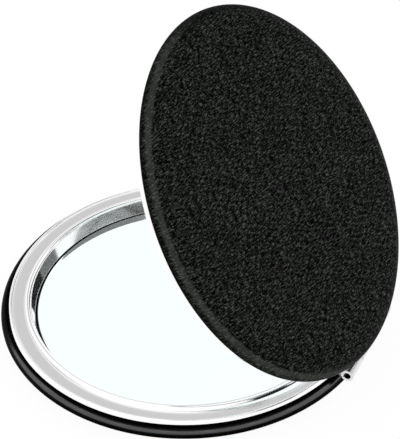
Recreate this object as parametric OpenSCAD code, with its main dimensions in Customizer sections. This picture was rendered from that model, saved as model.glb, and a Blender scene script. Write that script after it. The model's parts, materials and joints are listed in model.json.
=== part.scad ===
// Round folding compact mirror: two leatherette-covered halves with polished rims, a glass in each,
// joined at the back by a barrel hinge. The base lies on Z = 0 with its centre at the origin, the
// hinge is at +Y and the lid stands open. A half is drawn face down, and the lid is then turned over.

/* [Case] */
// Overall diameter of each half
case_d = 70; // [60:1:90]
// Angle that the lid stands open, from shut
lid_open = 55; // [0:5:180]
// Height of the widest level above the outer face
waist_z = 2.8; // [2.4:0.1:4]
// Width of the soft shoulder round the outer face
shoulder_w = 5; // [3:0.1:8]
// Width of the rolled edge between the widest level and the metal rim
edge_roll_w = 1.6; // [1.3:0.1:2.4]
// Height of that rolled edge
edge_roll_h = 1.1; // [0.9:0.1:2]
// Gap between the two rims when the case is shut
shut_gap = 0.12; // [0.06:0.02:0.3]

/* [Cover] */
// Thickness of the leatherette
skin_t = 0.45; // [0.35:0.05:0.5]
// Width of the leatherette turned in under the metal rim
skin_margin_w = 1.2; // [0.9:0.1:1.5]
// Thickness of the pressed shell that the leatherette is glued to
shell_t = 0.3; // [0.2:0.05:0.4]
// Width of the shell's flat rim under the turned-in leatherette
shell_margin_w = 0.9; // [0.5:0.1:1.2]
// Thickness of the adhesive disc between shell and frame
cover_tape_t = 0.1; // [0.05:0.05:0.2]

/* [Frame] */
// Sheet thickness of the pressed metal frame
frame_t = 0.32; // [0.25:0.01:0.4]
// Height of the base frame's outer lip; the lid's is taller and reaches down to it
lip_h = 0.8; // [0.7:0.05:1.2]
// Gap between the two lips when the case is shut
lip_gap = 0.26; // [0.1:0.02:0.6]
// Centre-line radius of the roll on top of the lip
lip_roll_r = 0.25; // [0.2:0.01:0.3]
// Drop from the lip's top to the flat flange
flange_drop = 0.2; // [0.1:0.02:0.24]
// Distance from the lip's outer face in to the bead's crown
rim_w = 3.55; // [3.4:0.05:4.5]
// Height of the bead above the flange
bead_rise = 0.7; // [0.5:0.05:0.8]
// Centre-line radius of the bead
bead_r = 0.55; // [0.5:0.01:0.6]
// Slope of the recess wall from the vertical, in degrees
wall_slope = 18; // [10:1:30]
// Bend radius between the recess wall and the floor, on the centre line
floor_bend_r = 0.4; // [0.3:0.05:0.5]

/* [Glass] */
// Thickness of both glasses
glass_t = 1; // [0.8:0.1:1.2]
// Width of the ground bevel on the flat glass's front edge
glass_bevel = 0.2; // [0.1:0.05:0.3]
// Clearance round a glass
glass_clearance = 0.15; // [0.1:0.05:0.4]
// Rise of the magnifying glass's front from its middle to its edge
magnifier_rise = 0.65; // [0.3:0.05:0.8]
// Thickness of the adhesive behind the glasses
glass_tape_t = 0.1; // [0.05:0.01:0.2]
// How far the adhesive's edge lies inside the glass's edge
tape_inset = 3; // [1:0.5:8]

/* [Hinge] */
// Distance of the hinge line outside the case's edge
hinge_out = 0.45; // [0.3:0.05:1]
// Overall length of the hinge barrel
hinge_w = 20; // [16:0.5:24]
// Length of the lid's middle knuckle
lid_knuckle_w = 9.8; // [6:0.2:12]
// Gap between two knuckles
knuckle_gap = 0.1; // [0.05:0.05:0.3]
// Diameter of the hinge pin
pin_d = 1.3; // [1:0.05:1.4]
// How far the pin's ends lie inside the barrel
pin_recess = 0.8; // [0.3:0.1:2]
// Radial running clearance of the lid's knuckle on the pin
pin_clearance = 0.05; // [0.02:0.01:0.08]
// Sheet thickness of the rolled knuckles
knuckle_t = 0.5; // [0.4:0.05:0.6]
// Width of the slit where a knuckle's rolled sheet ends
curl_slit = 0.18; // [0.1:0.02:0.3]
// Sheet thickness of the hinge leaves under the rim
leaf_t = 0.4; // [0.3:0.02:0.42]
// Width of a leaf's foot, soldered under the rim
leaf_foot_w = 1.9; // [1.4:0.1:2]
// How far a knuckle's tail stays inside each end of the knuckle
tail_inset = 1.2; // [0.6:0.1:1.6]

/* [Catch] */
// Length of each closing magnet
magnet_l = 6; // [4:0.5:8]
// Width of each magnet, along the rim's radius
magnet_w = 1.6; // [1:0.1:1.7]
// Thickness of each magnet
magnet_t = 1.2; // [0.8:0.1:1.5]

/* [Hidden] */
$fn = 96;

glue = 0.02;            // glue or solder line between bonded pieces
overrun = 1;            // how far a cutter runs past what it cuts
arc_steps = 10;         // straight steps in a profile's curve
pin_grip = 0.01;        // radial clearance of the base's knuckles, which hold the pin
leaf_clearance = 0.05;  // room round a hinge leaf's tail where it passes the rim
pin_chamfer = 0.15;     // chamfer on the pin's ends
lip_roll_end = 125;     // angle at which the lip's roll ends, towards the flange
bead_start = 10;        // angle at which the bead's roll starts, from the flange
curl_angle = 205;       // angle at which a knuckle's rolled sheet ends
lip_foot_share = 2.6;   // where the lip's inner slope meets the flange, in roll radii
bead_foot_share = 1.45; // where the flange ends at the bead, in bead radii

// Levels of one half, from its outer face up to the plane where the halves meet
case_r = case_d / 2;
cover_top = waist_z + edge_roll_h;
shell_z = skin_t + glue;
cover_tape_z = shell_z + shell_t + glue;
floor_z = cover_tape_z + cover_tape_t + glue;
floor_mid = floor_z + frame_t / 2;
glass_tape_z = floor_z + frame_t + glue;
glass_z = glass_tape_z + glass_tape_t + glue;
glass_top = glass_z + glass_t;
lip_z = cover_top + glue;
lip_top = lip_z + lip_h;
flange_top = lip_top - flange_drop;
flange_mid = flange_top - frame_t / 2;
bead_top = flange_top + bead_rise;
parting_z = bead_top + shut_gap / 2;
lid_lip_top = 2 * parting_z - lip_top - lip_gap;
leaf_top = flange_top - frame_t - glue;
leaf_z = leaf_top - leaf_t;

// Radii and centres on the frame's centre line
lip_r = case_r - edge_roll_w;
lip_mid_r = lip_r - frame_t / 2;
lip_roll_drop = frame_t / 2 + lip_roll_r;
bead_mid_r = lip_r - rim_w;
bead_mid_z = bead_top - frame_t / 2 - bead_r;
bead_end = 180 - wall_slope;
bead_end_r = bead_mid_r + bead_r * cos(bead_end);
bead_end_z = bead_mid_z + bead_r * sin(bead_end);
wall_foot_r = bead_end_r - (bead_end_z - glass_top) * tan(wall_slope);

glass_r = wall_foot_r - frame_t / 2 - glass_clearance;
tape_r = glass_r - tape_inset;
margin_r = lip_r - skin_margin_w;
magnet_r = (bead_mid_r + margin_r) / 2;

// The hinge, which lies on the plane where the halves meet
hinge_y = case_r + hinge_out;
barrel_r = pin_d / 2 + pin_clearance + knuckle_t;
base_knuckle_w = (hinge_w - lid_knuckle_w) / 2 - knuckle_gap;
leaf_foot_r = margin_r - leaf_clearance;
slot_r = lip_r - frame_t - leaf_clearance;
ramp_y = hinge_y - barrel_r - leaf_t;
tail_y = leaf_foot_r - leaf_foot_w;
// Start and length of each half's knuckles, along the hinge
base_knuckles = [[-hinge_w / 2, base_knuckle_w], [hinge_w / 2 - base_knuckle_w, base_knuckle_w]];
lid_knuckles = [[-lid_knuckle_w / 2, lid_knuckle_w]];

function arc_points(c, a, b, from, to) = [
  for (i = [0 : arc_steps]) let (t = from + (to - from) * i / arc_steps) [c.x + a * cos(t), c.y + b * sin(t)]
];
function reversed(p) = [for (i = [len(p) - 1 : -1 : 0]) p[i]];
function unit(v) = v / norm(v);
function mitre(a, b) = let (m = unit(a + b)) [-m.y, m.x] / (m * a);
function beside(p, d) = [
  for (i = [0 : len(p) - 1])
    let (
      before = unit(p[max(i, 1)] - p[max(i, 1) - 1]),
      after = unit(p[min(i, len(p) - 2) + 1] - p[min(i, len(p) - 2)])
    )
    p[i] + d * mitre(before, after)
];
// The section of a sheet of thickness t that follows the centre line p
function sheet(p, t) = concat(beside(p, t / 2), reversed(beside(p, -t / 2)));

// The outside of the covered dish, moved in by d, from the middle of its face to its turned-in margin
function dish(d, margin) = concat(
  [[0, d]],
  arc_points([case_r - shoulder_w, waist_z], shoulder_w - d, waist_z - d, -90, 0),
  arc_points([lip_r, waist_z], edge_roll_w - d, edge_roll_h - d, 0, 90),
  [[lip_r - margin, cover_top - d]]
);

// The centre line of a frame whose lip reaches up to top: from the lip's edge over the bead and down
// to the middle of its floor
function frame_line(top) = concat(
  [[lip_mid_r, lip_z]],
  arc_points([lip_mid_r - lip_roll_r, top - lip_roll_drop], lip_roll_r, lip_roll_r, 0, lip_roll_end),
  [[lip_mid_r - lip_foot_share * lip_roll_r, flange_mid]],
  [[bead_mid_r + bead_foot_share * bead_r, flange_mid]],
  arc_points([bead_mid_r, bead_mid_z], bead_r, bead_r, bead_start, bead_end),
  [[wall_foot_r, glass_top]],
  arc_points([wall_foot_r - floor_bend_r, floor_mid + floor_bend_r], floor_bend_r, floor_bend_r, 0, -90),
  [[0, floor_mid]]
);

// A face of the magnifying glass that is z high in its middle, out to r
function hollow(z, r) = [
  for (i = [0 : arc_steps]) let (x = r * i / arc_steps) [x, z + magnifier_rise * (x / glass_r) ^ 2]
];

// What the tails of the knuckles k take out of the rim, from z up to top
module tail_slots(k, z, top) {
  for (e = k)
    translate([e[0] + tail_inset - leaf_clearance, tail_y, z])
      cube([e[1] - 2 * tail_inset + 2 * leaf_clearance, hinge_y - tail_y, top - z]);
}

// The frame of one half, with a lip up to top and slots for the tails of the knuckles k
module half_frame(k, top) {
  difference() {
    rotate_extrude() polygon(sheet(frame_line(top), frame_t));
    difference() {
      tail_slots(k, lip_z - overrun, leaf_top + leaf_clearance);
      cylinder(r = slot_r, h = parting_z);
    }
  }
}

module half_cover(k) {
  difference() {
    rotate_extrude() polygon(concat(dish(0, skin_margin_w), reversed(dish(skin_t, skin_margin_w))));
    tail_slots(k, leaf_z - leaf_clearance, cover_top + overrun);
  }
}

module half_shell() {
  rotate_extrude()
    polygon(concat(dish(shell_z, shell_margin_w), reversed(dish(shell_z + shell_t, shell_margin_w))));
}

module half_cover_tape() {
  translate([0, 0, cover_tape_z]) cylinder(r = tape_r, h = cover_tape_t);
}

module half_magnet() {
  translate([-magnet_l / 2, -magnet_r - magnet_w / 2, leaf_top - magnet_t])
    cube([magnet_l, magnet_w, magnet_t]);
}

// A rolled knuckle of length w from x, and the narrower tail that carries it
module knuckle(x, w, bore_r) {
  translate([x, 0, 0]) rotate([90, 0, 90]) difference() {
    union() {
      translate([hinge_y, parting_z]) cylinder(r = barrel_r, h = w);
      translate([0, 0, tail_inset]) linear_extrude(w - 2 * tail_inset) polygon([
        [tail_y, leaf_z], [ramp_y, leaf_z], [hinge_y, parting_z - barrel_r],
        [hinge_y, parting_z - barrel_r + knuckle_t], [ramp_y + leaf_t / 2, leaf_top], [tail_y, leaf_top]
      ]);
    }
    translate([hinge_y, parting_z, -overrun]) {
      cylinder(r = bore_r, h = w + 2 * overrun);
      rotate(curl_angle) translate([0, -curl_slit / 2])
        cube([barrel_r + overrun, curl_slit, w + 2 * overrun]);
    }
  }
}

// A hinge leaf: its foot lies under the flange, and the knuckles k stand out behind
module half_hinge_leaf(k, bore_r) {
  union() {
    intersection() {
      translate([0, 0, leaf_z]) difference() {
        cylinder(r = leaf_foot_r, h = leaf_t);
        translate([0, 0, -overrun]) cylinder(r = leaf_foot_r - leaf_foot_w, h = leaf_t + 2 * overrun);
      }
      translate([-hinge_w / 2, 0, leaf_z]) cube([hinge_w, case_r, leaf_t]);
    }
    for (e = k) knuckle(e[0], e[1], bore_r);
  }
}

// Turns a half over onto the base, then swings it open about the hinge
module on_lid() {
  translate([0, hinge_y, parting_z]) rotate([-lid_open, 0, 0])
    translate([0, -hinge_y, parting_z]) rotate([0, 180, 0]) children();
}

module base_frame() { color("silver") half_frame(base_knuckles, lip_top); }
module base_shell() { color("dimgray") half_shell(); }
module base_cover() { color([0.09, 0.1, 0.09]) half_cover(base_knuckles); }
module base_cover_tape() { color("beige") half_cover_tape(); }
module base_hinge_leaf() { color("silver") half_hinge_leaf(base_knuckles, pin_d / 2 + pin_grip); }
module base_magnet() { color("slategray") half_magnet(); }

module base_mirror_tape() {
  color("beige") translate([0, 0, glass_tape_z]) cylinder(r = tape_r, h = glass_tape_t);
}

module base_mirror() {
  color("azure") translate([0, 0, glass_z]) {
    cylinder(r = glass_r, h = glass_t - glass_bevel);
    translate([0, 0, glass_t - glass_bevel])
      cylinder(r1 = glass_r, r2 = glass_r - glass_bevel, h = glass_bevel);
  }
}

module hinge_pin() {
  l = hinge_w - 2 * pin_recess;
  end_r = pin_d / 2 - pin_chamfer;
  color("gray") translate([-l / 2, hinge_y, parting_z]) rotate([90, 0, 90]) rotate_extrude()
    polygon([[0, 0], [end_r, 0], [pin_d / 2, pin_chamfer], [pin_d / 2, l - pin_chamfer], [end_r, l], [0, l]]);
}

module lid_frame() { color("silver") on_lid() half_frame(lid_knuckles, lid_lip_top); }
module lid_shell() { color("dimgray") on_lid() half_shell(); }
module lid_cover() { color([0.09, 0.1, 0.09]) on_lid() half_cover(lid_knuckles); }
module lid_cover_tape() { color("beige") on_lid() half_cover_tape(); }
module lid_magnet() { color("slategray") on_lid() half_magnet(); }

module lid_hinge_leaf() {
  color("silver") on_lid() half_hinge_leaf(lid_knuckles, pin_d / 2 + pin_clearance);
}

// A glass slumped to a shallow hollow, of even thickness, which rests on the floor at its middle
module lid_mirror() {
  color("azure") on_lid() rotate_extrude()
    polygon(concat(hollow(glass_z, glass_r), reversed(hollow(glass_top, glass_r))));
}

// Foam adhesive that fills the space under the slumped glass
module lid_mirror_tape() {
  color("beige") on_lid() rotate_extrude()
    polygon(concat([[0, glass_tape_z], [tape_r, glass_tape_z]], reversed(hollow(glass_z - glue, tape_r))));
}

base_frame();
base_shell();
base_cover();
base_cover_tape();
base_mirror();
base_mirror_tape();
base_hinge_leaf();
base_magnet();
hinge_pin();
lid_frame();
lid_shell();
lid_cover();
lid_cover_tape();
lid_mirror();
lid_mirror_tape();
lid_hinge_leaf();
lid_magnet();
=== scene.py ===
# %% [markdown]
# # A round compact mirror, half open
# This lesson dresses a small folding mirror: two halves covered in black leatherette, with a
# polished metal rim and a glass in each, and a barrel hinge between them. The engineering model
# already holds every piece at its real size. Here each piece that shows gets a smooth surface and
# the finish of the real thing, and each piece whose shape is already true gets a finish alone.

# %% Load the engineering model
import bmesh
import bpy
import json
from math import acos, cos, degrees, pi, radians, sin, tan
from mathutils import Matrix, Vector


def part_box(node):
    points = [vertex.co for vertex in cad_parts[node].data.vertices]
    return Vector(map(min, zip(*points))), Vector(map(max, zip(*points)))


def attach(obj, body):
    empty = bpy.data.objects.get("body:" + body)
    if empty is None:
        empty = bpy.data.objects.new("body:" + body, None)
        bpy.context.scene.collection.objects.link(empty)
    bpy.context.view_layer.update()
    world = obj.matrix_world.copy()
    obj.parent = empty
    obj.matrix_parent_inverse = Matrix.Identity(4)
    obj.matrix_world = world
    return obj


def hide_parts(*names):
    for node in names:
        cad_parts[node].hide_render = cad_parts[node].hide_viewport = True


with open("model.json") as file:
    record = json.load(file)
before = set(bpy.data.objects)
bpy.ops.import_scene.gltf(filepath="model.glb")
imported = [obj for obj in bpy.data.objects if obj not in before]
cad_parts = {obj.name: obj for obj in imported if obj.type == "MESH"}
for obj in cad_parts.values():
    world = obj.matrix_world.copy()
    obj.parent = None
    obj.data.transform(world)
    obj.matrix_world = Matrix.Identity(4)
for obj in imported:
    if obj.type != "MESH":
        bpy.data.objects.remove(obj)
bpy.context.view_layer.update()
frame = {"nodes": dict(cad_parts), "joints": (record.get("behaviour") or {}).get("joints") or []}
print("pieces in the model:", len(frame["nodes"]))

# %% [markdown]
# ## Sizes that come from the model
# Both halves of the real case come from nearly the same press tools, so one half is drawn, lying
# on its outer face and centred on the origin. The base stays as it is drawn. The lid is drawn with
# a few sizes of its own, then turned over and swung open. The sizes could be typed in again, but
# reading them from the model's own boxes keeps each new surface where the model has the piece.

# %% Read the sizes of one half
# Lengths are in metres here, so a size in millimetres is a number times MM.
MM = 0.001
case_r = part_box("base_cover")[1].x
cover_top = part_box("base_cover")[1].z
lip_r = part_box("base_frame")[1].x
floor_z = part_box("base_frame")[0].z
bead_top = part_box("base_frame")[1].z
glass_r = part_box("base_mirror")[1].x
glass_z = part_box("base_mirror")[0].z
glass_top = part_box("base_mirror")[1].z
print("case radius", round(case_r / MM, 2), "mm, glass radius", round(glass_r / MM, 2), "mm")

# %% Work out where the lid is
hinge = frame["joints"][0]
hinge_y = hinge["pos_m"][1]
parting_z = hinge["pos_m"][2]
lid_open = radians(-hinge["range_deg"][0])
# Read from the last line up: turn the half over, lay it on the base as seen from the hinge line,
# swing it open about that line, and move the line to its place.
lid_place = (
    Matrix.Translation((0, hinge_y, parting_z))
    @ Matrix.Rotation(-lid_open, 4, "X")
    @ Matrix.Translation((0, -hinge_y, parting_z))
    @ Matrix.Rotation(pi, 4, "Y")
)
PLACES = {"base": Matrix.Identity(4), "lid": lid_place}
print("the lid is open by", round(degrees(lid_open), 1), "degrees, and the shut case is")
print(round(2 * parting_z / MM, 2), "mm thick")

# %% [markdown]
# ## Camera
# The picture looks down on the case from behind and to the side of its hinge, through a long
# lens, so the two round halves show as nearly true ellipses. A camera could be dragged into place
# by eye, but then nothing says why it is there. It is placed here by its angles round a point
# inside the case, with a small roll, which is how a photographer would say it. The angles and the
# lens come from fitting the ellipses of both halves at once.

# %% Place the camera
CAMERA_AZIMUTH = radians(113.354)
CAMERA_ELEVATION = radians(40.651)
CAMERA_ROLL = radians(-1.549)
CAMERA_DISTANCE = 699.6 * MM
CAMERA_AIM = Vector((0.27, 2.97, 25)) * MM
FOCAL_PIXELS = 3828.6
IMAGE_HEIGHT = 439


def toward(azimuth, elevation):
    """The direction from the case to a place in the room, by its angles in radians."""
    return Vector((sin(azimuth) * cos(elevation), -cos(azimuth) * cos(elevation), sin(elevation)))


camera_data = bpy.data.cameras.new("camera")
# The picture is taller than wide, so the sensor's long side runs along its height.
camera_data.lens = FOCAL_PIXELS / IMAGE_HEIGHT * camera_data.sensor_width
camera = bpy.data.objects.new("camera", camera_data)
bpy.context.scene.collection.objects.link(camera)
bpy.context.scene.camera = camera
back = toward(CAMERA_AZIMUTH, CAMERA_ELEVATION)
camera.location = CAMERA_AIM + back * CAMERA_DISTANCE
looking = (-back).to_track_quat("-Z", "Y").to_matrix().to_4x4()
camera.matrix_world = Matrix.Translation(camera.location) @ looking @ Matrix.Rotation(CAMERA_ROLL, 4, "Z")
print("lens", round(camera_data.lens), "mm")

# %% [markdown]
# ## Turned pieces
# The skin, the rim and the glass of such a case are all round about one axis. They could be built
# from scaled cylinders and boolean cuts, but cuts leave uneven faces at each bend, and polished
# metal shows every one. So a bmesh starts here from a few vertices along one section line, and the
# spin operator turns it about the Z axis. A bend in the line is an arc, sampled from its formula.

# %% Sample an arc of a section line
ARC_STEPS = 16


def arc(centre_r, centre_z, radius_r, radius_z, start, end, steps=ARC_STEPS):
    """Points of an elliptical arc in a section, from one angle to another, in degrees."""
    angles = [radians(start + (end - start) * i / steps) for i in range(steps + 1)]
    return [(centre_r + radius_r * cos(a), centre_z + radius_z * sin(a)) for a in angles]


print("an arc has", len(arc(0, 0, 1, 1, 0, 90)), "points unless a bend needs more or fewer")

# %% Turn a section line
TURN_STEPS = 192
MERGE_DIST = 0.001 * MM


def finished(name, bm):
    """A smooth shaded object that holds a bmesh."""
    mesh = bpy.data.meshes.new(name)
    bm.to_mesh(mesh)
    bm.free()
    mesh.shade_smooth()
    piece = bpy.data.objects.new(name, mesh)
    bpy.context.scene.collection.objects.link(piece)
    return piece


def turned(name, section):
    """A surface made by turning a section line once round the Z axis."""
    bm = bmesh.new()
    line = [bm.verts.new((r, 0, z)) for r, z in section]
    edges = [bm.edges.new(pair) for pair in zip(line, line[1:])]
    bmesh.ops.spin(
        bm, geom=line + edges, cent=(0, 0, 0), axis=(0, 0, 1), angle=2 * pi,
        steps=TURN_STEPS, use_merge=True, use_duplicate=False,
    )
    bmesh.ops.remove_doubles(bm, verts=bm.verts, dist=MERGE_DIST)
    bmesh.ops.recalc_face_normals(bm, faces=bm.faces)
    return finished(name, bm)


print("each full turn has", TURN_STEPS, "steps")

# %% Give a surface its wall
SHARP_BEND = radians(35)


def thicken(piece, thickness, offset):
    """Gives a surface a wall: an offset of -1 grows it inwards, 0 both ways, 1 outwards."""
    wall = piece.modifiers.new("wall", "SOLIDIFY")
    wall.thickness = thickness
    wall.offset = offset
    wall.use_even_offset = True
    graph = bpy.context.evaluated_depsgraph_get()
    made = bpy.data.meshes.new_from_object(piece.evaluated_get(graph))
    piece.modifiers.clear()
    piece.data = made
    made.shade_smooth()
    made.set_sharp_from_angle(angle=SHARP_BEND)
    return piece


print("bends over", round(degrees(SHARP_BEND)), "degrees keep a sharp edge")


def settle(piece, side, node, material):
    """Puts a piece drawn as a half in its side's place and lets it stand for a node."""
    piece.data.transform(PLACES[side])
    piece.data.materials.clear()
    piece.data.materials.append(material)
    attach(piece, side)
    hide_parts(node)
    print(piece.name, "has", len(piece.data.polygons), "faces")


# %% [markdown]
# ## Helpers for finishes
# A finish could be a picture wrapped round the piece, but a picture has one sharpness and needs a
# map of the surface. Here each finish is a small graph of nodes round a Principled shader, which
# stays sharp at any distance. Colours are written as sRGB hex values, as they are picked from a
# swatch, and one function makes them linear, as a shader needs them.

# %% Make a colour from a swatch
def linear(swatch):
    """A hex colour such as 'c8c8c8' as linear red, green, blue and alpha, by the sRGB formula."""
    parts = [int(swatch[i:i + 2], 16) / 255 for i in (0, 2, 4)]
    return [p / 12.92 if p <= 0.04045 else ((p + 0.055) / 1.055) ** 2.4 for p in parts] + [1]


print("a middle grey swatch sends back", round(linear("808080")[0], 3), "of the light")

# %% Add a node
def add_node(tree, kind, settings=None, **sockets):
    """Adds a node with its settings. A socket is its name, with _ for a space, or _ and its number,
    and it gets a value or a link. The Mix node has its two numbers at 2 and 3, its two colours at
    6 and 7, and the mixed colour as its output 2."""
    made = tree.nodes.new(kind)
    for key, value in (settings or {}).items():
        setattr(made, key, value)
    for key, value in sockets.items():
        socket = made.inputs[int(key[1:]) if key[1:].isdigit() else key.replace("_", " ")]
        if isinstance(value, bpy.types.NodeSocket):
            tree.links.new(value, socket)
        else:
            socket.default_value = value
    return made


print("nodes are added by one function")

# %% Start a graph and a material
def empty_graph(owner):
    """The node graph of a material or a world, without the nodes that it starts with."""
    owner.use_nodes = True
    owner.node_tree.nodes.clear()
    return owner.node_tree


def new_material(name, **shader_values):
    """A material with one Principled shader, set to the given values."""
    material = bpy.data.materials.new(name)
    tree = empty_graph(material)
    shader = add_node(tree, "ShaderNodeBsdfPrincipled", **shader_values)
    add_node(tree, "ShaderNodeOutputMaterial", Surface=shader.outputs[0])
    return material, tree, shader


print("a material starts from a Principled shader")

# %% Find a point on the half's own drawing
def distance_from_axis(tree, first, second):
    """How far a point lies from an axis, by its places along two directions square to it."""
    flat = add_node(tree, "ShaderNodeCombineXYZ", X=first, Y=second).outputs[0]
    return add_node(tree, "ShaderNodeVectorMath", {"operation": "LENGTH"}, _0=flat).outputs["Value"]


def half_drawing(tree, side):
    """A point's place in millimetres on the half as drawn: whole, by axes, and as a radius."""
    place = add_node(
        tree, "ShaderNodeMapping", {"vector_type": "TEXTURE"},
        Vector=add_node(tree, "ShaderNodeTexCoord").outputs["Object"],
        Location=PLACES[side].to_translation(), Rotation=PLACES[side].to_euler(), Scale=(MM, MM, MM),
    ).outputs[0]
    axes = add_node(tree, "ShaderNodeSeparateXYZ", Vector=place).outputs
    return place, axes, distance_from_axis(tree, axes["X"], axes["Y"])


print("finishes that follow a half:", len(PLACES))

# %% [markdown]
# ## Black leatherette: the grain
# The skin is a polyurethane film on a fabric backing, and a roller has embossed it with a fine
# random cross grain. The eye sees small pale crumbs and short scratches on black. The grain's
# relief is real, and the paleness of its ridges is painted highlight, for the glints that the
# raised grain catches. A repeating tile would show its joins on a plain round face, so the grain
# is drawn from random patterns: cells for the crumbs, three layers of strokes for the scratches,
# and a faint cloud, as no sheet is quite even. All of it lies on the sheet as it was before it was
# wrapped, in millimetres. The real crumbs and scratches are about 0.1 mm wide. A pixel of the
# picture is 0.18 mm, so both are drawn about twice as coarse as they are, or they would not show.

# %% Lay the rolled edge out flat
# How much of a point's height is added to its radius.
WRAP = 0.6


def flat_sheet(tree, place, axes, radius):
    """The half as drawn, spread outwards the higher it is, as if its edge were laid out flat."""
    steepness = add_node(
        tree, "ShaderNodeMath", {"operation": "DIVIDE"}, _0=axes["Z"], _1=radius
    ).outputs[0]
    spread = add_node(
        tree, "ShaderNodeMath", {"operation": "MULTIPLY_ADD"}, _0=steepness, _1=WRAP, _2=1.0
    ).outputs[0]
    return add_node(
        tree, "ShaderNodeVectorMath", {"operation": "SCALE"}, Vector=place, Scale=spread
    ).outputs[0]


print("the edge is spread outwards by", WRAP, "of its height")

# %% Draw the strokes
# Sizes are in millimetres and angles in degrees. The seed moves a layer away from the others, and
# the gain is how much it counts.
STROKES = (
    {"angle": 15, "seed": 3, "width": 0.23, "length": 1.3, "gain": 1.15},
    {"angle": 56, "seed": 17, "width": 0.19, "length": 1.0, "gain": 0.5},
    {"angle": -7, "seed": 41, "width": 0.19, "length": 1.0, "gain": 0.4},
)


def strokes(tree, flat, layer):
    """Noise that is divided by a stroke's real size, so its own scale stays 1."""
    along = add_node(
        tree, "ShaderNodeMapping", {"vector_type": "TEXTURE"}, Vector=flat,
        Location=(layer["seed"], layer["seed"], 0), Rotation=(0, 0, radians(layer["angle"])),
        Scale=(layer["length"], layer["width"], 1),
    ).outputs[0]
    return add_node(
        tree, "ShaderNodeTexNoise", {"noise_dimensions": "2D"}, Vector=along, Scale=1.0, Detail=0.0
    ).outputs[0]


print("layers of strokes:", len(STROKES))

# %% Lay crumbs, cloud and strokes over each other
# How wide a crumb and a cloud are, in millimetres, and how much they count.
CRUMB = 0.2
CRUMB_GAIN = 1.0
CLOUD = 5
CLOUD_GAIN = 0.12
# The middle of one layer, and how far it mostly strays from it.
NOISE_MIDDLE = 0.5
NOISE_SPREAD = 0.14
# How many such spreads below and above the middle the deepest valley and the highest ridge lie.
SPREADS_BELOW = 2.3
SPREADS_ABOVE = 2.7


def embossed_grain(tree, flat):
    """The grain's height, from 0 in its valleys to 1 on its ridges."""
    crumbs = add_node(
        tree, "ShaderNodeTexVoronoi", {"voronoi_dimensions": "2D"}, Vector=flat, Scale=1 / CRUMB
    ).outputs["Color"]
    cloud = add_node(
        tree, "ShaderNodeTexNoise", {"noise_dimensions": "2D"}, Vector=flat, Scale=1 / CLOUD, Detail=0.0
    ).outputs[0]
    layers = [(crumbs, CRUMB_GAIN), (cloud, CLOUD_GAIN)]
    layers += [(strokes(tree, flat, layer), layer["gain"]) for layer in STROKES]
    total = 0.0
    for pattern, gain in layers:
        total = add_node(
            tree, "ShaderNodeMath", {"operation": "MULTIPLY_ADD"}, _0=pattern, _1=gain, _2=total
        ).outputs[0]
    # Independent patterns add up by the squares of their spreads.
    middle = NOISE_MIDDLE * sum(gain for pattern, gain in layers)
    spread = NOISE_SPREAD * sum(gain ** 2 for pattern, gain in layers) ** 0.5
    return add_node(
        tree, "ShaderNodeMapRange", Value=total,
        From_Min=middle - SPREADS_BELOW * spread, From_Max=middle + SPREADS_ABOVE * spread,
    ).outputs[0]


print("crumbs of", CRUMB, "mm and clouds of", CLOUD, "mm")

# %% [markdown]
# ## Black leatherette: the rolled edge
# Round the shoulder the sheet is pulled over the shell and turned in. Stretching flattens the
# grain, so the roll is a plain deep black. On one side of the lid a pale band is painted along the
# edge as a painted sheen, where light from that side catches the shoulder, and on the far side the
# grain is painted darker as painted shade. The outer part of the roll is rubbed so smooth that it
# shines a little, as if it were varnished.
# Bands of faces with materials of their own would meet in hard lines. A real sheet changes
# gradually, so one material has smooth steps over height, radius and direction.

# %% Tell the face from the rolled edge
SMOOTH = {"interpolation_type": "SMOOTHSTEP"}
# The heights above the face, in millimetres, at which the grain starts to fade and is gone.
GRAIN_ENDS_Z = {"base": (1.3, 1.8), "lid": (2.0, 3.2)}


def face_share(tree, side, height):
    """1 on the face, falling to 0 on the rolled edge, by the height in millimetres."""
    start, end = GRAIN_ENDS_Z[side]
    return add_node(
        tree, "ShaderNodeMapRange", SMOOTH, Value=height,
        From_Min=start, From_Max=end, To_Min=1.0, To_Max=0.0,
    ).outputs[0]


print("the lid's grain is gone at", GRAIN_ENDS_Z["lid"][1], "mm above its face")

# %% Find the side that the painted light comes from
# The direction of the lit side, and the cosines of the angles from it at which the painted light
# is full and gone.
LIT_SIDE = radians(192)
LIT_FULL = 0.35
LIT_GONE = -0.15


def lit_side_share(tree, place, radius):
    """1 on the side that the painted light comes from, falling to 0 on the far side."""
    toward_lit_side = Vector((cos(LIT_SIDE), sin(LIT_SIDE), 0))
    reach = add_node(tree, "ShaderNodeVectorMath", {"operation": "DOT_PRODUCT"}, _0=place, _1=toward_lit_side)
    cosine = add_node(
        tree, "ShaderNodeMath", {"operation": "DIVIDE"}, _0=reach.outputs["Value"], _1=radius
    ).outputs[0]
    return add_node(
        tree, "ShaderNodeMapRange", SMOOTH, Value=cosine,
        From_Min=LIT_FULL, From_Max=LIT_GONE, To_Min=1.0, To_Max=0.0,
    ).outputs[0]


print("the sheet is pulled towards", round(degrees(LIT_SIDE)), "degrees on the drawing")

# %% Paint a sheen band along the edge
# The painted sheen band's middle radius, and how far from it the sheen is full and gone, in
# millimetres.
SHEEN_BAND_R = 34.38
SHEEN_BAND_FULL = 0.2
SHEEN_BAND_GONE = 0.6


def painted_sheen_share(tree, radius):
    """1 in the middle of the painted sheen band, falling to 0 at its borders."""
    offset = add_node(
        tree, "ShaderNodeMath", {"operation": "SUBTRACT"}, _0=radius, _1=SHEEN_BAND_R
    ).outputs[0]
    distance = add_node(tree, "ShaderNodeMath", {"operation": "ABSOLUTE"}, _0=offset).outputs[0]
    return add_node(
        tree, "ShaderNodeMapRange", SMOOTH, Value=distance,
        From_Min=SHEEN_BAND_FULL, From_Max=SHEEN_BAND_GONE, To_Min=1.0, To_Max=0.0,
    ).outputs[0]


print("the stretched band is", round(2 * SHEEN_BAND_GONE, 1), "mm wide")

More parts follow.
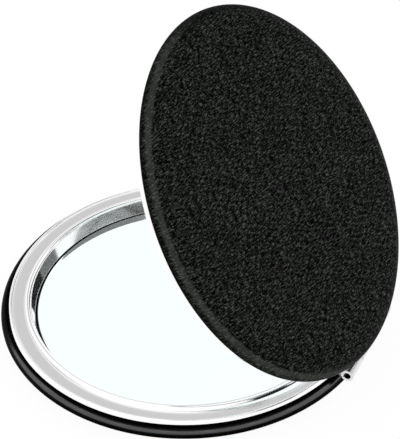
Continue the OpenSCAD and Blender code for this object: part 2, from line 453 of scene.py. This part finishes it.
# %% Paint shade on the grain at the far edge
# The radius where the painted shade of the edge starts in full, and how far inside it it begins,
# in millimetres.
SHADED_EDGE_R = 33.9
SHADED_EDGE_W = 0.4
# The share of the grain's paleness that the painted shade leaves there.
SHADED_EDGE_KEEPS = 0.4


def unshaded_share(tree, lit, radius):
    """How much of the grain's paleness is left: all but where painted shade darkens the far edge."""
    inside = add_node(
        tree, "ShaderNodeMapRange", SMOOTH, Value=radius,
        From_Min=SHADED_EDGE_R - SHADED_EDGE_W, From_Max=SHADED_EDGE_R, To_Min=1.0, To_Max=0.0,
    ).outputs[0]
    kept = add_node(tree, "ShaderNodeMath", {"operation": "MAXIMUM"}, _0=lit, _1=inside).outputs[0]
    return add_node(
        tree, "ShaderNodeMath", {"operation": "MAXIMUM"}, _0=kept, _1=SHADED_EDGE_KEEPS
    ).outputs[0]


print("the far edge keeps", SHADED_EDGE_KEEPS, "of the paleness")

# %% Paint the film's tone, with its painted highlight, sheen and shade
GRAIN_CONTRAST = 3.0
# How pale the painted sheen makes the band on each half.
PAINTED_SHEEN = {"base": 0.0, "lid": 0.3}


def film_tone_and_painted_light(tree, side, grain, face, place, radius):
    """How pale the film is painted, from 0 in the valleys and on the roll to 1 on the highest ridges.
    The ridges' paleness is painted highlight, the band on the lit side is painted sheen, and the
    darker far edge is painted shade.
    """
    # Where the painted light falls: 1 on its side, 0 on the far side.
    lit = lit_side_share(tree, place, radius)
    # The paleness of the ridges is painted highlight, for the glints that the raised grain catches.
    ridges = add_node(
        tree, "ShaderNodeMath", {"operation": "POWER"}, _0=grain, _1=GRAIN_CONTRAST
    ).outputs[0]
    shade = add_node(
        tree, "ShaderNodeMath", {"operation": "MULTIPLY"}, _0=ridges, _1=unshaded_share(tree, lit, radius)
    ).outputs[0]
    band = add_node(
        tree, "ShaderNodeMath", {"operation": "MULTIPLY"}, _0=painted_sheen_share(tree, radius), _1=lit
    ).outputs[0]
    both = add_node(
        tree, "ShaderNodeMath", {"operation": "MULTIPLY_ADD"}, _0=band, _1=PAINTED_SHEEN[side], _2=shade
    ).outputs[0]
    return add_node(tree, "ShaderNodeMath", {"operation": "MULTIPLY"}, _0=both, _1=face).outputs[0]


print("the lid's pale band adds", PAINTED_SHEEN["lid"])

# %% Let the roll shine
# How strongly the smooth roll shines, and from which radius and height on, in millimetres.
SHINE = 0.03
SHINE_R = 34.3
SHINE_FADES_R = 0.2
SHINE_Z = 2.6
SHINE_FADES_Z = 0.3


def shine_weight(tree, height, radius):
    """The weight of a clear coat on the outer part of the roll, for its soft line of light."""
    outer = add_node(
        tree, "ShaderNodeMapRange", SMOOTH, Value=radius,
        From_Min=SHINE_R, From_Max=SHINE_R - SHINE_FADES_R, To_Min=1.0, To_Max=0.0,
    ).outputs[0]
    upper = add_node(
        tree, "ShaderNodeMapRange", SMOOTH, Value=height,
        From_Min=SHINE_Z, From_Max=SHINE_Z - SHINE_FADES_Z, To_Min=1.0, To_Max=0.0,
    ).outputs[0]
    roll = add_node(tree, "ShaderNodeMath", {"operation": "MULTIPLY"}, _0=outer, _1=upper).outputs[0]
    return add_node(tree, "ShaderNodeMath", {"operation": "MULTIPLY"}, _0=roll, _1=SHINE).outputs[0]


print("the shine starts", SHINE_Z, "mm above the face")

# %% Make the leatherette
MATT = 0.002
SHINE_ROUGHNESS = 0.18
EDGE_ROUGHNESS = 0.3
FACE_ROUGHNESS = 0.4
GRAIN_DEPTH = 0.05 * MM
GRAIN_RELIEF = 0.3


def make_leatherette(side):
    # Embossed polyurethane is a deep black that hardly shines. The eye sees pale specks on the face,
    #     which are painted highlights on the grain's ridges, a painted sheen along one side of the lid's
    #     edge, and a plain black roll with one soft line of light.
    name = side + " embossed black leatherette"
    material, tree, shader = new_material(name, Metallic=0.0, IOR=1.5, Specular_IOR_Level=MATT)
    shader.inputs["Coat Roughness"].default_value = SHINE_ROUGHNESS
    place, axes, radius = half_drawing(tree, side)
    grain = embossed_grain(tree, flat_sheet(tree, place, axes, radius))
    face = face_share(tree, side, axes["Z"])
    shade = film_tone_and_painted_light(tree, side, grain, face, place, radius)
    colour = add_node(
        tree, "ShaderNodeMix", {"data_type": "RGBA"}, _0=shade, _6=linear("010101"), _7=linear("4c504c")
    ).outputs[2]
    tree.links.new(colour, shader.inputs["Base Color"])
    rough = add_node(tree, "ShaderNodeMapRange", Value=face, To_Min=EDGE_ROUGHNESS, To_Max=FACE_ROUGHNESS)
    tree.links.new(rough.outputs[0], shader.inputs["Roughness"])
    tree.links.new(shine_weight(tree, axes["Z"], radius), shader.inputs["Coat Weight"])
    height = add_node(tree, "ShaderNodeMath", {"operation": "MULTIPLY"}, _0=grain, _1=face).outputs[0]
    bump = add_node(tree, "ShaderNodeBump", Height=height, Distance=GRAIN_DEPTH, Strength=GRAIN_RELIEF)
    tree.links.new(bump.outputs[0], shader.inputs["Normal"])
    return material


leatherette = {side: make_leatherette(side) for side in PLACES}
print("grain depth", round(GRAIN_DEPTH / MM, 2), "mm")

# %% [markdown]
# ## Polished plating
# The rims are pressed from steel sheet, polished, and plated with nickel and chrome. Plating sends
# back a little over half of the light, evenly over the colours. A darker metal would look dirty
# here and a lighter one like silver, so the base colour is that clean light grey, and the bright
# surroundings do the rest. Polishing leaves a faint haze, which no single roughness can show, so
# slow noise varies it.

# %% Make the plating
# The haze changes every few millimetres, by a quarter of the roughness to each side.
HAZE = 2.5 * MM
HAZE_DETAIL = 3.0
HAZE_SWING = 0.25
RIM_ROUGHNESS = 0.095


def make_plating(name, swatch, roughness):
    # Chrome plate gives the eye clear reflections in a neutral grey, a little soft at their edges.
    material, tree, shader = new_material(name, Metallic=1.0, Base_Color=linear(swatch))
    coordinates = add_node(tree, "ShaderNodeTexCoord").outputs["Object"]
    haze = add_node(
        tree, "ShaderNodeTexNoise", Vector=coordinates, Scale=1 / HAZE, Detail=HAZE_DETAIL
    ).outputs[0]
    rough = add_node(
        tree, "ShaderNodeMapRange", Value=haze,
        To_Min=roughness * (1 - HAZE_SWING), To_Max=roughness * (1 + HAZE_SWING),
    ).outputs[0]
    tree.links.new(rough, shader.inputs["Roughness"])
    return material, tree, shader


plating = make_plating("chrome-plated pressed steel", "cbcbcb", RIM_ROUGHNESS)[0]
print("haze every", round(HAZE / MM, 1), "mm")

# %% [markdown]
# ## Silvered glass
# The mirror is float glass, silvered on its back and sealed with dark paint. A thin dark line round
# the edge is painted shade, for the shadow in the narrow gap between the glass and the rim's wall. A
# block of clear glass over a mirror plane would be true, but it needs many more bounces of light
# for the same picture. A metal with a clear coat gives the eye the same thing: nearly all the light
# back, a faint cool tint, and a surface as flat as glass.

# %% Make the mirror's finish
# The paint's width is in millimetres, as it is compared with a place on the drawing.
GLASS_IOR = 1.52
GLASS_COAT = 0.5
GLASS_WAVE = 20 * MM
# The painted shade's width is in millimetres, as it is compared with a place on the drawing.
GLASS_ROUGHNESS = 0.015
GLASS_EDGE_SHADE_W = 0.22


def make_silvered_glass(side):
    # Float glass is drawn out flat and is very slightly wavy, and silver is the whitest metal, so
    #     the eye sees a clear, bright, faintly cool image, with a dark hairline of painted shade round it.
    material, tree, shader = new_material(side + " silvered float glass", Metallic=1.0)
    shader.inputs["Coat Weight"].default_value = GLASS_COAT
    shader.inputs["Coat IOR"].default_value = GLASS_IOR
    shader.inputs["Coat Roughness"].default_value = 0.0
    coordinates = add_node(tree, "ShaderNodeTexCoord").outputs["Object"]
    waves = add_node(tree, "ShaderNodeTexNoise", Vector=coordinates, Scale=1 / GLASS_WAVE, Detail=1.0)
    rough = add_node(
        tree, "ShaderNodeMapRange", Value=waves.outputs[0], To_Min=0.0, To_Max=GLASS_ROUGHNESS
    ).outputs[0]
    tree.links.new(rough, shader.inputs["Roughness"])
    radius = half_drawing(tree, side)[2]
    # The dark ring at the edge is painted shade, for the gap between the glass and the rim.
    silver = add_node(
        tree, "ShaderNodeMapRange", SMOOTH, Value=radius, From_Min=glass_r / MM - GLASS_EDGE_SHADE_W,
        From_Max=glass_r / MM - GLASS_EDGE_SHADE_W / 2, To_Min=1.0, To_Max=0.0,
    ).outputs[0]
    colour = add_node(
        tree, "ShaderNodeMix", {"data_type": "RGBA"}, _0=silver, _6=linear("141615"), _7=linear("f9ffff")
    ).outputs[2]
    tree.links.new(colour, shader.inputs["Base Color"])
    return material


silvered_glass = {side: make_silvered_glass(side) for side in PLACES}
# The dark line is painted shade of the gap round the glass.
print("the dark paint shows", GLASS_EDGE_SHADE_W, "mm wide")

# %% [markdown]
# ## The skin
# The leatherette is wrapped over a pressed shell: a flat face, a soft shoulder, the widest level,
# and an edge that is rolled over and turned in under the metal rim. A simulated cloth would give
# chance folds that a glued skin doesn't have, so it is turned from one section line of its outside,
# and the Solidify modifier gives it the thickness of the material. The base's skin has a lower
# waist, a wider shoulder and a slightly slack roll, and the lid's is pulled tight.

# %% Draw the skin's section
WAIST_Z = {"base": 2.3 * MM, "lid": 2.8 * MM}
SHOULDER_W = {"base": 6 * MM, "lid": 5 * MM}
SHOULDER_STEPS = 24
# A slack of 1 makes the roll a true quarter of an ellipse, and more makes it less full.
EDGE_SLACK = {"base": 1.15, "lid": 1.0}
MARGIN_W = 1.2 * MM
FACE_RINGS = 12


def skin_section(waist, shoulder_w, slack):
    """The outside of the skin, from the middle of its face to the margin under the rim."""
    flat_r = case_r - shoulder_w
    face = [(flat_r * i / FACE_RINGS, 0) for i in range(FACE_RINGS)]
    shoulder = arc(flat_r, waist, shoulder_w, waist, -90, 0, SHOULDER_STEPS)
    quarter = [radians(90 * i / ARC_STEPS) for i in range(ARC_STEPS + 1)]
    edge = [
        (lip_r + (case_r - lip_r) * cos(a) ** slack, waist + (cover_top - waist) * sin(a) ** slack)
        for a in quarter
    ]
    return face + shoulder + edge[1:] + [(lip_r - MARGIN_W, cover_top)]


print("the widest level is", round(WAIST_Z["base"] / MM, 1), "mm up on the base")

# %% Wrap both halves
SKIN_T = 0.45 * MM

for side in PLACES:
    section = skin_section(WAIST_Z[side], SHOULDER_W[side], EDGE_SLACK[side])
    skin = thicken(turned(side + "_leatherette", section), SKIN_T, -1)
    settle(skin, side, side + "_cover", leatherette[side])

# %% [markdown]
# ## The pressed rim
# One sheet makes the whole tray: a lip that leans inwards from the leatherette and is rolled over,
# a flange that curls up a little at both borders, a raised bead with a steep outer flank, a wall
# down into the recess, and a floor for the glass. Ring after ring could be extruded and beveled,
# but a press bends sheet along true arcs, and polish shows where they start and end. So the line
# below is the middle of the sheet, made of arcs that touch, and Solidify gives both faces, which
# keeps an even wall at every bend.

# %% Give the sheet its sizes
SHEET_T = 0.32 * MM
# The lid's lip is the taller one, because it reaches down to the base's when the case is shut.
LIP_TOP = {"base": cover_top + 0.82 * MM, "lid": cover_top + 1.68 * MM}
FLANGE_DROP = 0.2 * MM
# The flange bends up by this many degrees at each border.
CURL = 5
CURL_R = 10 * MM
CURL_STEPS = 8
flange_mid = LIP_TOP["base"] - FLANGE_DROP - SHEET_T / 2
curl_z = flange_mid + CURL_R * (1 - cos(radians(CURL)))
print("the flange curls up by", round((curl_z - flange_mid) / MM, 3), "mm at each border")

# %% Draw a straight stretch
SUPPORT = 0.06 * MM


def straight(start, end):
    """The ends of a straight stretch, each with a support point that keeps its shading flat."""
    (r0, z0), (r1, z1) = start, end
    share = SUPPORT / ((r1 - r0) ** 2 + (z1 - z0) ** 2) ** 0.5
    near = (r0 + (r1 - r0) * share, z0 + (z1 - z0) * share)
    far = (r1 + (r0 - r1) * share, z1 + (z0 - z1) * share)
    return [start, near, far, end]


print("a stretch has", len(straight((0, 0), (1, 0))), "points")

# %% Draw the lip
# The lean is in degrees from upright.
LIP_LEAN = {"base": 20, "lid": 8}
LIP_ROLL = 0.15 * MM
LIP_FLARE = 0.2 * MM
LIP_FILLET = 0.2 * MM
LIP_FILLET_STEPS = 8
GLUE = 0.02 * MM


def lip_line(lip_top, lean):
    """From the lip's foot on the skin, over its roll, down to the flat of the flange."""
    tilt = radians(lean)
    curl = radians(CURL)
    foot = (lip_r + LIP_FLARE - SHEET_T / 2 / cos(tilt), cover_top + GLUE)
    roll_z = lip_top - SHEET_T / 2 - LIP_ROLL
    rise_to_roll = roll_z + LIP_ROLL * sin(tilt) - foot[1]
    roll_mid = foot[0] - rise_to_roll * tan(tilt) - LIP_ROLL * cos(tilt)
    fillet_z = curl_z + LIP_FILLET * cos(curl)
    # A low lip meets its fillet before the roll is through. A tall one has a straight inside.
    dip = degrees(acos(max(0, (fillet_z - roll_z) / (LIP_ROLL + LIP_FILLET))))
    roll = arc(roll_mid, roll_z, LIP_ROLL, LIP_ROLL, lean, 90 + dip)
    foot_r = roll_mid - (LIP_ROLL + LIP_FILLET) * sin(radians(dip))
    fillet = arc(foot_r, fillet_z, LIP_FILLET, LIP_FILLET, dip - 90, CURL - 90, LIP_FILLET_STEPS)
    curl_r = foot_r + (LIP_FILLET - CURL_R) * sin(curl)
    outer_curl = arc(curl_r, flange_mid + CURL_R, CURL_R, CURL_R, CURL - 90, -90, CURL_STEPS)
    lip = straight(foot, roll[0]) + roll[1:]
    if lip[-1][1] > fillet[0][1] + SUPPORT:
        lip = lip[:-1] + straight(lip[-1], fillet[0])[:-1]
    return lip + fillet[:-1] + outer_curl


print("the base's lip leans", LIP_LEAN["base"], "degrees and the lid's", LIP_LEAN["lid"])

# %% Draw the bead
RIM_W = 3.55 * MM
BEAD_R = 0.55 * MM
BEAD_STEPS = 24
# Degrees: how steep the flank is from level, and how far the wall leans from upright.
BEAD_RISE = 64
WALL_SLOPE = 18
BEAD_FILLET = 0.25 * MM
BEAD_FILLET_STEPS = 12


def bead_line():
    """From the flat of the flange, up the steep flank and over the bead to the recess wall."""
    rise = radians(BEAD_RISE)
    curl = radians(CURL)
    bead_mid = lip_r - RIM_W
    bead_z = bead_top - SHEET_T / 2 - BEAD_R
    foot_z = curl_z + BEAD_FILLET * cos(curl)
    climb = bead_z - foot_z + (BEAD_R + BEAD_FILLET) * cos(rise)
    foot_r = bead_mid + (BEAD_R + BEAD_FILLET) * sin(rise) + climb / tan(rise)
    fillet = arc(foot_r, foot_z, BEAD_FILLET, BEAD_FILLET, -90 - CURL, -90 - BEAD_RISE, BEAD_FILLET_STEPS)
    curl_r = foot_r + (CURL_R - BEAD_FILLET) * sin(curl)
    inner_curl = arc(curl_r, flange_mid + CURL_R, CURL_R, CURL_R, -90, -90 - CURL, CURL_STEPS)
    bead = arc(bead_mid, bead_z, BEAD_R, BEAD_R, 90 - BEAD_RISE, 180 - WALL_SLOPE, BEAD_STEPS)
    return inner_curl + fillet[1:-1] + straight(fillet[-1], bead[0]) + bead[1:]


print("the bead is", round(2 * BEAD_R / MM, 1), "mm wide")

# %% Draw the recess
FLOOR_BEND = 0.4 * MM
FLOOR_BEND_STEPS = 8


def recess_line(start):
    """From the end of the bead, down the wall and in over the floor to the middle."""
    wall_foot = start[0] - (start[1] - glass_top) * tan(radians(WALL_SLOPE))
    floor_mid = floor_z + SHEET_T / 2
    bend = arc(
        wall_foot - FLOOR_BEND, floor_mid + FLOOR_BEND, FLOOR_BEND, FLOOR_BEND, 0, -90, FLOOR_BEND_STEPS
    )
    return straight(start, (wall_foot, glass_top)) + bend + [(0, floor_mid)]


print("the recess wall slopes", WALL_SLOPE, "degrees from upright")

# %% Press both rims
def rim_section(lip_top, lean):
    """The middle line of the whole pressed sheet, from the lip's foot to the middle of the floor."""
    lip = lip_line(lip_top, lean)
    bead = bead_line()
    flange = straight(lip[-1], bead[0])
    return lip[:-1] + flange + bead[1:-1] + recess_line(bead[-1])


for side in PLACES:
    rim = thicken(turned(side + "_rim", rim_section(LIP_TOP[side], LIP_LEAN[side])), SHEET_T, 0)
    settle(rim, side, side + "_frame", plating)

# %% [markdown]
# ## The glasses
# The base holds a flat mirror with a ground bevel round its front edge. The lid holds the
# magnifying one, slumped to a shallow hollow. A cylinder with a bevel modifier would do for the
# flat one but not for the hollow one, so both are turned as closed bodies from their sections.

# %% Draw the glasses' sections
GLASS_BEVEL_W = 0.2 * MM
GLASS_BEVEL_H = 0.2 * MM
MAGNIFIER_RISE = 0.65 * MM
GLASS_RINGS = 16


def flat_glass_section():
    """A disc whose front edge is ground off."""
    front = [(glass_r - GLASS_BEVEL_W, glass_top), (glass_r, glass_top - GLASS_BEVEL_H)]
    return [(0, glass_top)] + front + [(glass_r, glass_z), (0, glass_z)]


def hollow_glass_section():
    """Both faces rise with the square of the radius, as a shallow hollow does."""
    shares = [i / GLASS_RINGS for i in range(GLASS_RINGS + 1)]
    front = [(glass_r * s, glass_top + MAGNIFIER_RISE * s * s) for s in shares]
    back_face = [(glass_r * s, glass_z + MAGNIFIER_RISE * s * s) for s in reversed(shares)]
    return front + back_face


print("the magnifying glass is", round(MAGNIFIER_RISE / MM, 2), "mm hollow")

# %% Cut the glasses
GLASS_SHARP_BEND = radians(20)

for side, section in (("base", flat_glass_section()), ("lid", hollow_glass_section())):
    glass = turned(side + "_glass", section)
    glass.data.set_sharp_from_angle(angle=GLASS_SHARP_BEND)
    settle(glass, side, side + "_mirror", silvered_glass[side])

# %% [markdown]
# ## The barrel hinge
# The knuckles are rolled from steel sheet and plated in a barrel with many others, so they are a
# little duller than the polished rims. Rolled knuckles are plain tubes, and the model's own
# surfaces already have that shape, so they stay and only get a finish. The bore looks black because
# hardly any light comes out of it, and that shade is painted on as painted shade. A second material
# on its faces would do, but here one material is painted darker with the distance from the pin's
# axis, which needs no faces to be picked.

# %% Make the hinge's plating
BORE_R = 0.65 * MM
# The painted shade is full out to the bore's wall and gone a little way into the sheet.
BORE_SHADE_FULL_SHARE = 1.02
BORE_SHADE_GONE_SHARE = 1.12
HINGE_ROUGHNESS = 0.35


def make_hinge_plating():
    # Barrel-plated steel gives the eye a bright but softer grey, and the bore shows as a dark dot of
    #     painted shade.
    material, tree, shader = make_plating("chrome-plated rolled steel", "b8b8b8", HINGE_ROUGHNESS)
    coordinates = add_node(tree, "ShaderNodeTexCoord").outputs["Object"]
    axes = add_node(tree, "ShaderNodeSeparateXYZ", Vector=coordinates).outputs
    y = add_node(tree, "ShaderNodeMath", {"operation": "SUBTRACT"}, _0=axes["Y"], _1=hinge_y).outputs[0]
    z = add_node(tree, "ShaderNodeMath", {"operation": "SUBTRACT"}, _0=axes["Z"], _1=parting_z).outputs[0]
    # The bore's darkness is painted shade.
    bore_shade = add_node(
        tree, "ShaderNodeMapRange", SMOOTH, Value=distance_from_axis(tree, y, z),
        From_Min=BORE_R * BORE_SHADE_FULL_SHARE, From_Max=BORE_R * BORE_SHADE_GONE_SHARE, To_Min=1.0, To_Max=0.0,
    ).outputs[0]
    colour = add_node(
        tree, "ShaderNodeMix", {"data_type": "RGBA"}, _0=bore_shade, _6=linear("b8b8b8"), _7=linear("0c0c0c")
    ).outputs[2]
    tree.links.new(colour, shader.inputs["Base Color"])
    return material


hinge_plating = make_hinge_plating()
print("the bore is dark out to", round(BORE_R * BORE_SHADE_GONE_SHARE / MM, 2), "mm")

# %% [markdown]
# ## The hidden pieces
# Inside are the pressed shells, the pin, two magnets and four discs of tape. Nobody sees most of
# them until the case is taken apart, and the model's plain shapes are the real ones. They could be
# left grey, but each gets the finish of its own material, so that an opened case looks right.

# %% Make plain metals
# The grain changes every millimetre or so, by the swing to each side.
METAL_GRAIN = 1 * MM
METAL_DETAIL = 3.0
METAL_SWING = 0.06


def make_plain_metal(name, swatch, roughness):
    # Bare or thinly plated metal gives the eye a soft grey shine that varies a little from the
    # rolls, dies or baths it came from.
    material, tree, shader = new_material(name, Metallic=1.0, Base_Color=linear(swatch))
    coordinates = add_node(tree, "ShaderNodeTexCoord").outputs["Object"]
    grain = add_node(
        tree, "ShaderNodeTexNoise", Vector=coordinates, Scale=1 / METAL_GRAIN, Detail=METAL_DETAIL
    ).outputs[0]
    rough = add_node(
        tree, "ShaderNodeMapRange", Value=grain,
        To_Min=roughness - METAL_SWING, To_Max=roughness + METAL_SWING,
    ).outputs[0]
    tree.links.new(rough, shader.inputs["Roughness"])
    return material


steel_sheet = make_plain_metal("tinned steel sheet", "9a9a98", 0.35)
steel_wire = make_plain_metal("drawn steel wire", "6e6f70", 0.25)
nickel = make_plain_metal("nickel-plated magnet", "b4afa6", 0.18)
print("plain metals:", steel_sheet.name, "-", steel_wire.name, "-", nickel.name)

# %% Make the tape
FOAM_CELL = 0.25 * MM
FOAM_ROUGHNESS = 0.8


def make_foam():
    # Foamed acrylic gives the eye a matt warm white with a fine speckle from its cut cells.
    material, tree, shader = new_material("white acrylic foam tape", Roughness=FOAM_ROUGHNESS)
    coordinates = add_node(tree, "ShaderNodeTexCoord").outputs["Object"]
    cells = add_node(tree, "ShaderNodeTexVoronoi", Vector=coordinates, Scale=1 / FOAM_CELL).outputs[0]
    colour = add_node(
        tree, "ShaderNodeMix", {"data_type": "RGBA"}, _0=cells, _6=linear("d8d4c8"), _7=linear("efece2")
    ).outputs[2]
    tree.links.new(colour, shader.inputs["Base Color"])
    return material


foam = make_foam()
print("foam cells of", round(FOAM_CELL / MM, 2), "mm")

# %% Finish the pieces that keep their shape
KEPT = (
    (hinge_plating, ("base_hinge_leaf", "lid_hinge_leaf")),
    (steel_wire, ("hinge_pin",)),
    (steel_sheet, ("base_shell", "lid_shell")),
    (nickel, ("base_magnet", "lid_magnet")),
    (foam, ("base_cover_tape", "lid_cover_tape", "base_mirror_tape", "lid_mirror_tape")),
)
for material, nodes in KEPT:
    for node in nodes:
        frame["nodes"][node].data.materials[0] = material
print("kept as modelled:", sum(len(nodes) for material, nodes in KEPT))

# %% [markdown]
# ## Studio: the light tent
# Polished metal shows its whole room, so such goods are photographed in a light tent: white paper
# below and white cloth above. Many lamps round the case would also be bright, but each would show
# in the metal as a spot. The tent is brighter in reflections than where the camera sees it, so the
# plating gleams against a plain white page. Only a patch made of three places is duller. The flat
# glass and the flat flange look at it, and so keep their own pale tones.

# %% Tell the rays apart
def ray_kinds(tree):
    """Whether the camera sees this directly, and whether polish or glass shows it."""
    rays = add_node(tree, "ShaderNodeLightPath").outputs
    mirrored = add_node(
        tree, "ShaderNodeMath", {"operation": "MAXIMUM"},
        _0=rays["Is Glossy Ray"], _1=rays["Is Transmission Ray"],
    ).outputs[0]
    return rays["Is Camera Ray"], mirrored


print("the tent looks different to camera rays and to mirrored rays")

# %% Lay the paper
FLOOR_SIZE = 4.0
# The share of the paper's own shading that the camera sees, and how bright reflections of it are.
FLOOR_SHOWS_SHADOW = 0.05
TENT_GLARE = 1.7


def make_floor_paper():
    # Matt white paper is so bright that the eye sees it as the page, with a trace of shadow.
    material = bpy.data.materials.new("matt white paper")
    tree = empty_graph(material)
    direct, mirrored = ray_kinds(tree)
    glare = add_node(tree, "ShaderNodeMapRange", Value=mirrored, To_Min=1.0, To_Max=TENT_GLARE).outputs[0]
    seen = add_node(tree, "ShaderNodeMath", {"operation": "MAXIMUM"}, _0=mirrored, _1=direct).outputs[0]
    share = add_node(
        tree, "ShaderNodeMath", {"operation": "MULTIPLY"}, _0=seen, _1=1 - FLOOR_SHOWS_SHADOW
    ).outputs[0]
    paper = add_node(tree, "ShaderNodeBsdfDiffuse", Color=linear("ffffff")).outputs[0]
    white = add_node(tree, "ShaderNodeEmission", Color=linear("ffffff"), Strength=glare).outputs[0]
    mixed = add_node(tree, "ShaderNodeMixShader", _0=share, _1=paper, _2=white).outputs[0]
    add_node(tree, "ShaderNodeOutputMaterial", Surface=mixed)
    return material


bm = bmesh.new()
bmesh.ops.create_grid(bm, x_segments=1, y_segments=1, size=FLOOR_SIZE / 2)
floor = finished("floor", bm)
floor.data.materials.append(make_floor_paper())
print("the paper is", FLOOR_SIZE, "m wide")

# %% Find the dull patch of the tent
# Azimuth and elevation of each place in degrees. The tent is dull within 6 degrees of any of them.
DULL_PLACES = ((300, 39), (300, 29), (314, 39))
DULL_TO = radians(6)
DULL_FADES = radians(13)


def cloth_glare(tree):
    """How bright the cloth is in reflections: plain white in the dull patch, glaring elsewhere."""
    direction = add_node(tree, "ShaderNodeTexCoord").outputs["Generated"]
    nearness = 0.0
    for azimuth, elevation in DULL_PLACES:
        place = toward(radians(azimuth), radians(elevation))
        near = add_node(tree, "ShaderNodeVectorMath", {"operation": "DOT_PRODUCT"}, _0=direction, _1=place)
        nearness = add_node(
            tree, "ShaderNodeMath", {"operation": "MAXIMUM"}, _0=near.outputs["Value"], _1=nearness
        ).outputs[0]
    return add_node(
        tree, "ShaderNodeMapRange", SMOOTH, Value=nearness,
        From_Min=cos(DULL_FADES), From_Max=cos(DULL_TO), To_Min=TENT_GLARE, To_Max=1.0,
    ).outputs[0]


print("places in the dull patch:", len(DULL_PLACES))

# %% Raise the cloth
CLOTH_LIGHT = 1.0
PAGE_WHITE = 1.0

world = bpy.data.worlds.new("light tent")
bpy.context.scene.world = world
tent = empty_graph(world)
direct, mirrored = ray_kinds(tent)
strength = add_node(tent, "ShaderNodeMix", _0=mirrored, _2=CLOTH_LIGHT, _3=cloth_glare(tent)).outputs[0]
strength = add_node(tent, "ShaderNodeMix", _0=direct, _2=strength, _3=PAGE_WHITE).outputs[0]
cloth = add_node(tent, "ShaderNodeBackground", Color=linear("ffffff"), Strength=strength)
add_node(tent, "ShaderNodeOutputWorld", Surface=cloth.outputs[0])
bpy.context.scene.view_settings.view_transform = "Standard"
print("reflections of the cloth are", TENT_GLARE, "times as bright")

# %% [markdown]
# ## Studio: the strip lamps
# The rolled edge of the base carries one soft line of light all along. A single lamp would light
# only a part of a ring, so lamps stand in an arc round the camera's side. They would also glare in
# the metal and wash out the grain, so light linking lets them reach the base's leatherette alone,
# and they only count in reflections.

# %% Choose what the lamps reach
rolled_leatherette = bpy.data.collections.new("rolled leatherette")
rolled_leatherette.objects.link(bpy.data.objects["base_leatherette"])

# %% Set the lamps
# Distance and sizes in metres, angles in degrees.
LAMP_R = 0.75
LAMP_AZIMUTHS = range(10, 240, 25)
LAMP_ELEVATION = 21
LAMP_W = 0.33
LAMP_H = 0.5
LAMP_RADIANCE = 60


def softbox(name, azimuth, elevation, width, height, radiance):
    """A rectangular lamp aimed at the case, which only shows as a shine on the leatherette."""
    lamp = bpy.data.lights.new(name, "AREA")
    lamp.shape = "RECTANGLE"
    lamp.size = width
    lamp.size_y = height
    # The power of an even lamp is its radiance times pi times its area.
    lamp.energy = radiance * pi * width * height
    stand = bpy.data.objects.new(name, lamp)
    bpy.context.scene.collection.objects.link(stand)
    away = toward(radians(azimuth), radians(elevation))
    stand.location = CAMERA_AIM + away * LAMP_R
    stand.rotation_mode = "QUATERNION"
    stand.rotation_quaternion = away.to_track_quat("Z", "Y")
    stand.visible_camera = False
    stand.visible_diffuse = False
    stand.light_linking.receiver_collection = rolled_leatherette


for azimuth in LAMP_AZIMUTHS:
    softbox("strip lamp " + str(azimuth), azimuth, LAMP_ELEVATION, LAMP_W, LAMP_H, LAMP_RADIANCE)
print(len(LAMP_AZIMUTHS), "lamps")

# %% [markdown]
# ## Studio: the cards
# In an all-white tent, polished metal would vanish against the page. Photographers hold black and
# grey cards beside the case, and these draw the dark lines and the soft greys in the rim. Painting
# those lines on the metal would be quicker, but they would stay put when the case moves. Here
# three black cards, one of them low, and two grey ones, one of them high, stand outside the picture
# round the hinge's side of the case, and only reflections see them.

# %% Hold up the cards
CARD_R = 0.8
# Name, azimuth and elevation in degrees, width and height in metres, slant in degrees, swatch.
CARDS = (
    ("front card", 158, 2.5, 0.7, 0.13, 0, "0a0a0a"),
    ("right card", 163, 20, 0.34, 0.46, 0, "0a0a0a"),
    ("left card", 254, 26, 0.46, 0.17, 17, "0a0a0a"),
    ("grey card", 226, 19, 0.31, 0.17, 12, "8b8b8b"),
    ("top card", 225, 63, 0.6, 0.28, -28, "9a9a9a"),
)
CARD_ROUGHNESS = 0.9


def show_card(name, azimuth, elevation, width, height, slant, swatch):
    """A card outside the picture, facing the origin and seen only in reflections."""
    bm = bmesh.new()
    bmesh.ops.create_grid(bm, x_segments=1, y_segments=1, size=1)
    bmesh.ops.scale(bm, verts=bm.verts, vec=(width / 2, height / 2, 1))
    away = toward(radians(azimuth), radians(elevation))
    place = Matrix.Translation(away * CARD_R) @ away.to_track_quat("Z", "Y").to_matrix().to_4x4()
    bmesh.ops.transform(bm, verts=bm.verts, matrix=place @ Matrix.Rotation(radians(slant), 4, "Z"))
    card = finished(name, bm)
    # Dyed paper board gives the eye an even matt tone with no shine of its own.
    board = new_material(name + " dyed board", Base_Color=linear(swatch), Roughness=CARD_ROUGHNESS)[0]
    card.data.materials.append(board)
    card.visible_camera = False
    card.visible_diffuse = False
    card.visible_shadow = False


for card in CARDS:
    show_card(*card)
print(len(CARDS), "cards")

# %% [markdown]
# ## The sizes
# A finish must not change the sizes, so the dressed mirror has to stay inside the engineering
# model's box.

# %% Update the scene
bpy.context.view_layer.update()
